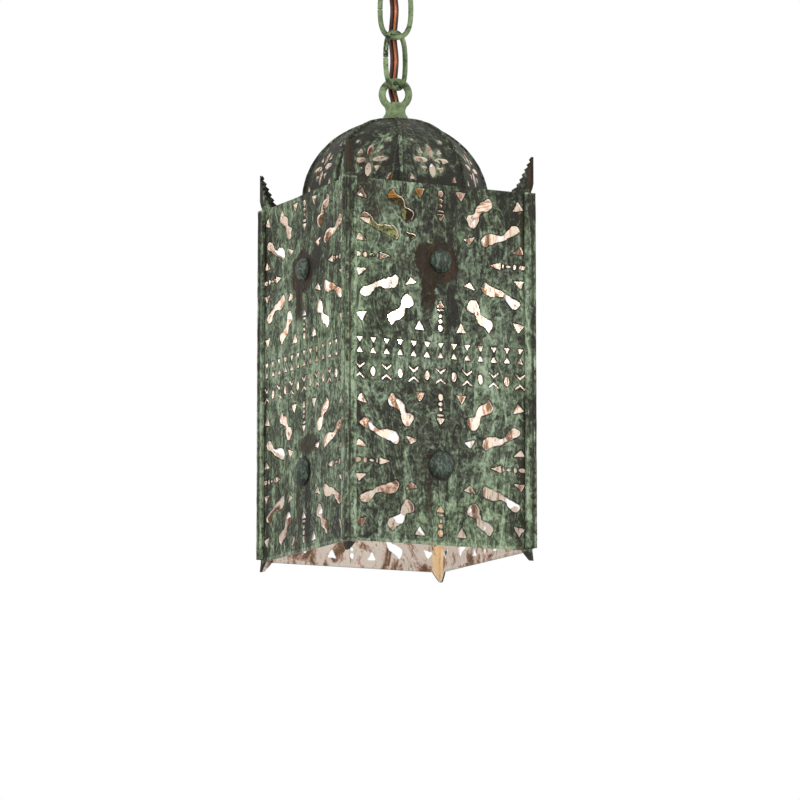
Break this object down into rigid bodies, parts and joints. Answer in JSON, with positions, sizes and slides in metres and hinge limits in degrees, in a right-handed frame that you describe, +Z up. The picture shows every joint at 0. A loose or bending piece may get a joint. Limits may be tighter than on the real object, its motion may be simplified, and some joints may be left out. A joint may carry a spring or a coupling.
{
  "type": "pendant lantern",
  "caption": "Square pierced metal pendant lantern with a domed roof, verdigris finish, hung on a short chain from a ceiling canopy with one clear bulb inside.",
  "frame": {"origin": "middle of the ceiling strap's top face, where the strap meets the ceiling", "axes": "+Z up into the ceiling, X and Y square to the lantern panels with -Y out of the front panel"},
  "size_m": [0.135, 0.135, 0.4187],
  "materials": {
    "zinc": "zinc plated steel",
    "nipple_brass": "plain brass thread",
    "pale_patina": "pale verdigris over cast metal",
    "patina": "streaked verdigris over sheet metal",
    "dark_patina": "dark brown and green patina",
    "socket_brass": "brassed steel",
    "fibre": "dark insulating liner",
    "phenolic": "moulded insulator",
    "bulb_brass": "plain brass",
    "bulb_glass": "clear glass",
    "filament": "glowing wire",
    "cord_brown": "brown cord jacket",
    "bare_copper": "bare copper wire"
  },
  "bodies": {
    "ceiling_fixture": {"ceiling_strap": "zinc", "strap_nut": "zinc", "canopy_nipple": "nipple_brass", "canopy_loop": "pale_patina", "cord_top": "cord_brown", "ground_wire_top": "bare_copper"},
    "canopy_cover": {"canopy": "patina", "canopy_ring_nut": "pale_patina"},
    "upper_link": {"chain_link_upper": "pale_patina", "cord_middle": "cord_brown", "ground_wire_middle": "bare_copper"},
    "lower_link": {"chain_link_lower": "pale_patina"},
    "lantern": {"hub_loop": "pale_patina", "lamp_nipple": "nipple_brass", "dome_washer": "zinc", "dome_nut": "zinc", "roof_plate": "dark_patina", "socket_cap": "socket_brass", "socket_shell": "pale_patina", "socket_liner": "fibre", "socket_body": "phenolic", "socket_screw_shell": "socket_brass", "dome_gore_1": "patina", "dome_gore_2": "patina", "dome_gore_3": "patina", "dome_gore_4": "patina", "dome_gore_5": "patina", "dome_gore_6": "patina", "dome_gore_7": "patina", "dome_gore_8": "patina", "dome_rib_1": "patina", "dome_rib_2": "patina", "dome_rib_3": "patina", "dome_rib_4": "patina", "dome_rib_5": "patina", "dome_rib_6": "patina", "dome_rib_7": "patina", "dome_rib_8": "patina", "panel_front": "patina", "panel_right": "patina", "panel_back": "patina", "panel_left": "patina", "corner_strip_front_left": "dark_patina", "corner_strip_front_right": "dark_patina", "corner_strip_back_right": "dark_patina", "corner_strip_back_left": "dark_patina", "boss_front_lower": "dark_patina", "boss_front_upper": "dark_patina", "boss_right_lower": "dark_patina", "boss_right_upper": "dark_patina", "boss_back_lower": "dark_patina", "boss_back_upper": "dark_patina", "boss_left_lower": "dark_patina", "boss_left_upper": "dark_patina", "cord_bottom": "cord_brown", "ground_wire_bottom": "bare_copper"},
    "bulb": {"bulb_base": "bulb_brass", "bulb_glass": "bulb_glass", "bulb_stem": "bulb_glass", "bulb_filament": "filament"}
  },
  "joints": [
    {"name": "upper_link_swing", "type": "hinge", "parent": "ceiling_fixture", "child": "upper_link", "pos_m": [0, 0, -0.0531], "axis": [0.9078, 0.4195, 0], "range_deg": [-20, 20], "deforming": ["cord_top", "ground_wire_top"]},
    {"name": "lower_link_swing", "type": "hinge", "parent": "upper_link", "child": "lower_link", "pos_m": [0, 0, -0.08495], "axis": [0.8973, -0.4415, 0], "range_deg": [-20, 20], "deforming": ["cord_middle", "ground_wire_middle"]},
    {"name": "lantern_swing", "type": "hinge", "parent": "lower_link", "child": "lantern", "pos_m": [0, 0, -0.1174], "axis": [0.9078, 0.4195, 0], "range_deg": [-20, 20], "deforming": ["cord_bottom", "ground_wire_bottom"]},
    {"name": "bulb_out", "type": "slide", "parent": "lantern", "child": "bulb", "axis": [0, 0, -1], "range_m": [0, 0.24]},
    {"name": "canopy_slide", "type": "slide", "parent": "ceiling_fixture", "child": "canopy_cover", "axis": [0, 0, -1], "range_m": [0, 0.018]}
  ]
}
